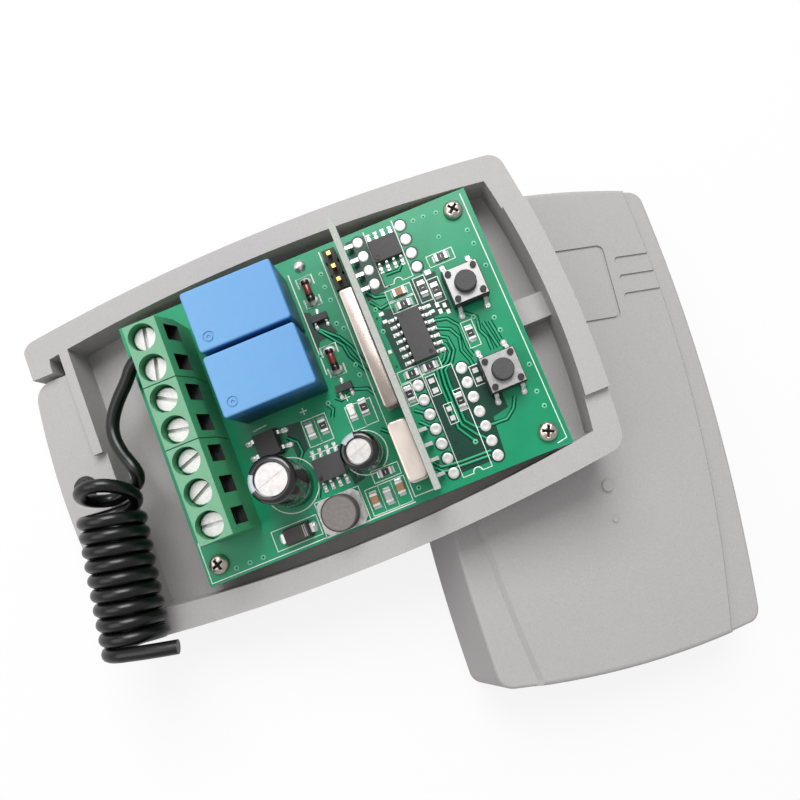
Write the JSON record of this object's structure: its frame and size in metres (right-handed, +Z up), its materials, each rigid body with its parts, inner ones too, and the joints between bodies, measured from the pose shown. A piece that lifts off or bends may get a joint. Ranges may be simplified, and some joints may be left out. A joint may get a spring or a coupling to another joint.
{
  "type": "radio relay receiver",
  "caption": "Relay receiver board with a coiled wire antenna in a shallow grey wall tray that leans on its loose cover, with screw terminals, relays and learn buttons.",
  "frame": {"origin": "middle of the part's footprint on the table, measured without the antenna wire", "axes": "+X along the tray from its cable end to the cover, +Z up from the table"},
  "size_m": [0.1219, 0.0958, 0.035],
  "materials": {
    "button_black": "moulded",
    "can_metal": "drawn can",
    "ceramic": "fired",
    "copper": "wound",
    "ferrite": "ground",
    "glass_body": "glass",
    "gold": "plated",
    "housing": "fine moulded texture",
    "laminate": "solder mask",
    "module_laminate": "bare cut edge",
    "nickel": "plated",
    "package": "moulded epoxy",
    "relay_blue": "moulded",
    "relay_resin": "moulded",
    "sleeve": "shrink sleeve",
    "steel": "plain",
    "terminal_green": "moulded",
    "tin": "tinned",
    "wire_black": "smooth insulation"
  },
  "bodies": {
    "tray": {"antenna_coil": "wire_black", "antenna_core": "tin", "antenna_lead": "wire_black", "base_tray": "housing", "board_screws": "nickel", "bridge_rectifier": "package", "capacitor_large": "sleeve", "capacitor_small": "sleeve", "chip_capacitors": "ceramic", "chip_resistors": "ceramic", "circuit_board": "laminate", "crystal_can": "can_metal", "crystal_foot": "button_black", "driver_chip": "package", "glass_diodes": "glass_body", "header_pins": "gold", "logic_chips": "package", "module_board": "module_laminate", "module_can": "can_metal", "module_pins": "tin", "pin_header": "button_black", "power_choke": "ferrite", "power_diode": "package", "relay_base_a": "relay_resin", "relay_base_b": "relay_resin", "relay_case_a": "relay_blue", "relay_case_b": "relay_blue", "relay_coil_a": "copper", "relay_coil_b": "copper", "relay_contacts_a": "tin", "relay_contacts_b": "tin", "status_leds": "ceramic", "switch_body_1": "button_black", "switch_body_2": "button_black", "switch_plate_1": "steel", "switch_plate_2": "steel", "terminal_block_a": "terminal_green", "terminal_block_b": "terminal_green", "terminal_block_c": "terminal_green", "terminal_contacts": "tin", "transistors": "package"},
    "cover": {"cover": "housing"},
    "button_1": {"switch_button_1": "button_black"},
    "button_2": {"switch_button_2": "button_black"},
    "screw_1": {"terminal_screw_1": "nickel"},
    "clamp_1": {"wire_clamp_1": "steel"},
    "screw_2": {"terminal_screw_2": "nickel"},
    "clamp_2": {"wire_clamp_2": "steel"},
    "screw_3": {"terminal_screw_3": "nickel"},
    "clamp_3": {"wire_clamp_3": "steel"},
    "screw_4": {"terminal_screw_4": "nickel"},
    "clamp_4": {"wire_clamp_4": "steel"},
    "screw_5": {"terminal_screw_5": "nickel"},
    "clamp_5": {"wire_clamp_5": "steel"},
    "screw_6": {"terminal_screw_6": "nickel"},
    "clamp_6": {"wire_clamp_6": "steel"},
    "screw_7": {"terminal_screw_7": "nickel"},
    "clamp_7": {"wire_clamp_7": "steel"},
    "armature_a": {"relay_armature_a": "steel"},
    "armature_b": {"relay_armature_b": "steel"}
  },
  "joints": [
    {"name": "cover_slide", "type": "slide", "parent": "tray", "child": "cover", "axis": [1, 0, 0], "range_m": [0, 0.1]},
    {"name": "button_1_press", "type": "slide", "parent": "tray", "child": "button_1", "axis": [-0.2518, 0, 0.9678], "range_m": [-0.00025, 0], "stiffness_N_per_m": 2000, "springref_m": 0.0003},
    {"name": "button_2_press", "type": "slide", "parent": "tray", "child": "button_2", "axis": [-0.2518, 0, 0.9678], "range_m": [-0.00025, 0], "stiffness_N_per_m": 2000, "springref_m": 0.0003},
    {"name": "screw_1_turn", "type": "hinge", "parent": "tray", "child": "screw_1", "pos_m": [-0.03835, 0.03457, 0.0251], "axis": [0.2518, 0, -0.9678], "range_deg": [-856.5, 0]},
    {"name": "clamp_1_rise", "type": "slide", "parent": "tray", "child": "clamp_1", "axis": [-0.2518, 0, 0.9678], "range_m": [-0.00107, 0]},
    {"name": "screw_2_turn", "type": "hinge", "parent": "tray", "child": "screw_2", "pos_m": [-0.03835, 0.02957, 0.0251], "axis": [0.2518, 0, -0.9678], "range_deg": [0, 1600.5]},
    {"name": "clamp_2_rise", "type": "slide", "parent": "tray", "child": "clamp_2", "axis": [-0.2518, 0, 0.9678], "range_m": [0, 0.002]},
    {"name": "screw_3_turn", "type": "hinge", "parent": "tray", "child": "screw_3", "pos_m": [-0.03835, 0.02457, 0.0251], "axis": [0.2518, 0, -0.9678], "range_deg": [0, 1600.5]},
    {"name": "clamp_3_rise", "type": "slide", "parent": "tray", "child": "clamp_3", "axis": [-0.2518, 0, 0.9678], "range_m": [0, 0.002]},
    {"name": "screw_4_turn", "type": "hinge", "parent": "tray", "child": "screw_4", "pos_m": [-0.03835, 0.01957, 0.0251], "axis": [0.2518, 0, -0.9678], "range_deg": [0, 1600.5]},
    {"name": "clamp_4_rise", "type": "slide", "parent": "tray", "child": "clamp_4", "axis": [-0.2518, 0, 0.9678], "range_m": [0, 0.002]},
    {"name": "screw_5_turn", "type": "hinge", "parent": "tray", "child": "screw_5", "pos_m": [-0.03835, 0.01457, 0.0251], "axis": [0.2518, 0, -0.9678], "range_deg": [0, 1600.5]},
    {"name": "clamp_5_rise", "type": "slide", "parent": "tray", "child": "clamp_5", "axis": [-0.2518, 0, 0.9678], "range_m": [0, 0.002]},
    {"name": "screw_6_turn", "type": "hinge", "parent": "tray", "child": "screw_6", "pos_m": [-0.03835, 0.00957, 0.0251], "axis": [0.2518, 0, -0.9678], "range_deg": [0, 1600.5]},
    {"name": "clamp_6_rise", "type": "slide", "parent": "tray", "child": "clamp_6", "axis": [-0.2518, 0, 0.9678], "range_m": [0, 0.002]},
    {"name": "screw_7_turn", "type": "hinge", "parent": "tray", "child": "screw_7", "pos_m": [-0.03835, 0.00457, 0.0251], "axis": [0.2518, 0, -0.9678], "range_deg": [0, 1600.5]},
    {"name": "clamp_7_rise", "type": "slide", "parent": "tray", "child": "clamp_7", "axis": [-0.2518, 0, 0.9678], "range_m": [0, 0.002]},
    {"name": "armature_a_swing", "type": "hinge", "parent": "tray", "child": "armature_a", "pos_m": [-0.01797, 0.03383, 0.02767], "axis": [0, 1, 0], "range_deg": [-2, 0], "stiffness_Nm_per_rad": 0.01, "springref_deg": 2.86},
    {"name": "armature_b_swing", "type": "hinge", "parent": "tray", "child": "armature_b", "pos_m": [-0.01797, 0.02323, 0.02767], "axis": [0, 1, 0], "range_deg": [-2, 0], "stiffness_Nm_per_rad": 0.01, "springref_deg": 2.86}
  ],
  "couplings": [
    {"joint": "screw_1_turn", "follows": "clamp_1_rise", "rad_per_m": 13963},
    {"joint": "screw_2_turn", "follows": "clamp_2_rise", "rad_per_m": 13963},
    {"joint": "screw_3_turn", "follows": "clamp_3_rise", "rad_per_m": 13963},
    {"joint": "screw_4_turn", "follows": "clamp_4_rise", "rad_per_m": 13963},
    {"joint": "screw_5_turn", "follows": "clamp_5_rise", "rad_per_m": 13963},
    {"joint": "screw_6_turn", "follows": "clamp_6_rise", "rad_per_m": 13963},
    {"joint": "screw_7_turn", "follows": "clamp_7_rise", "rad_per_m": 13963}
  ]
}
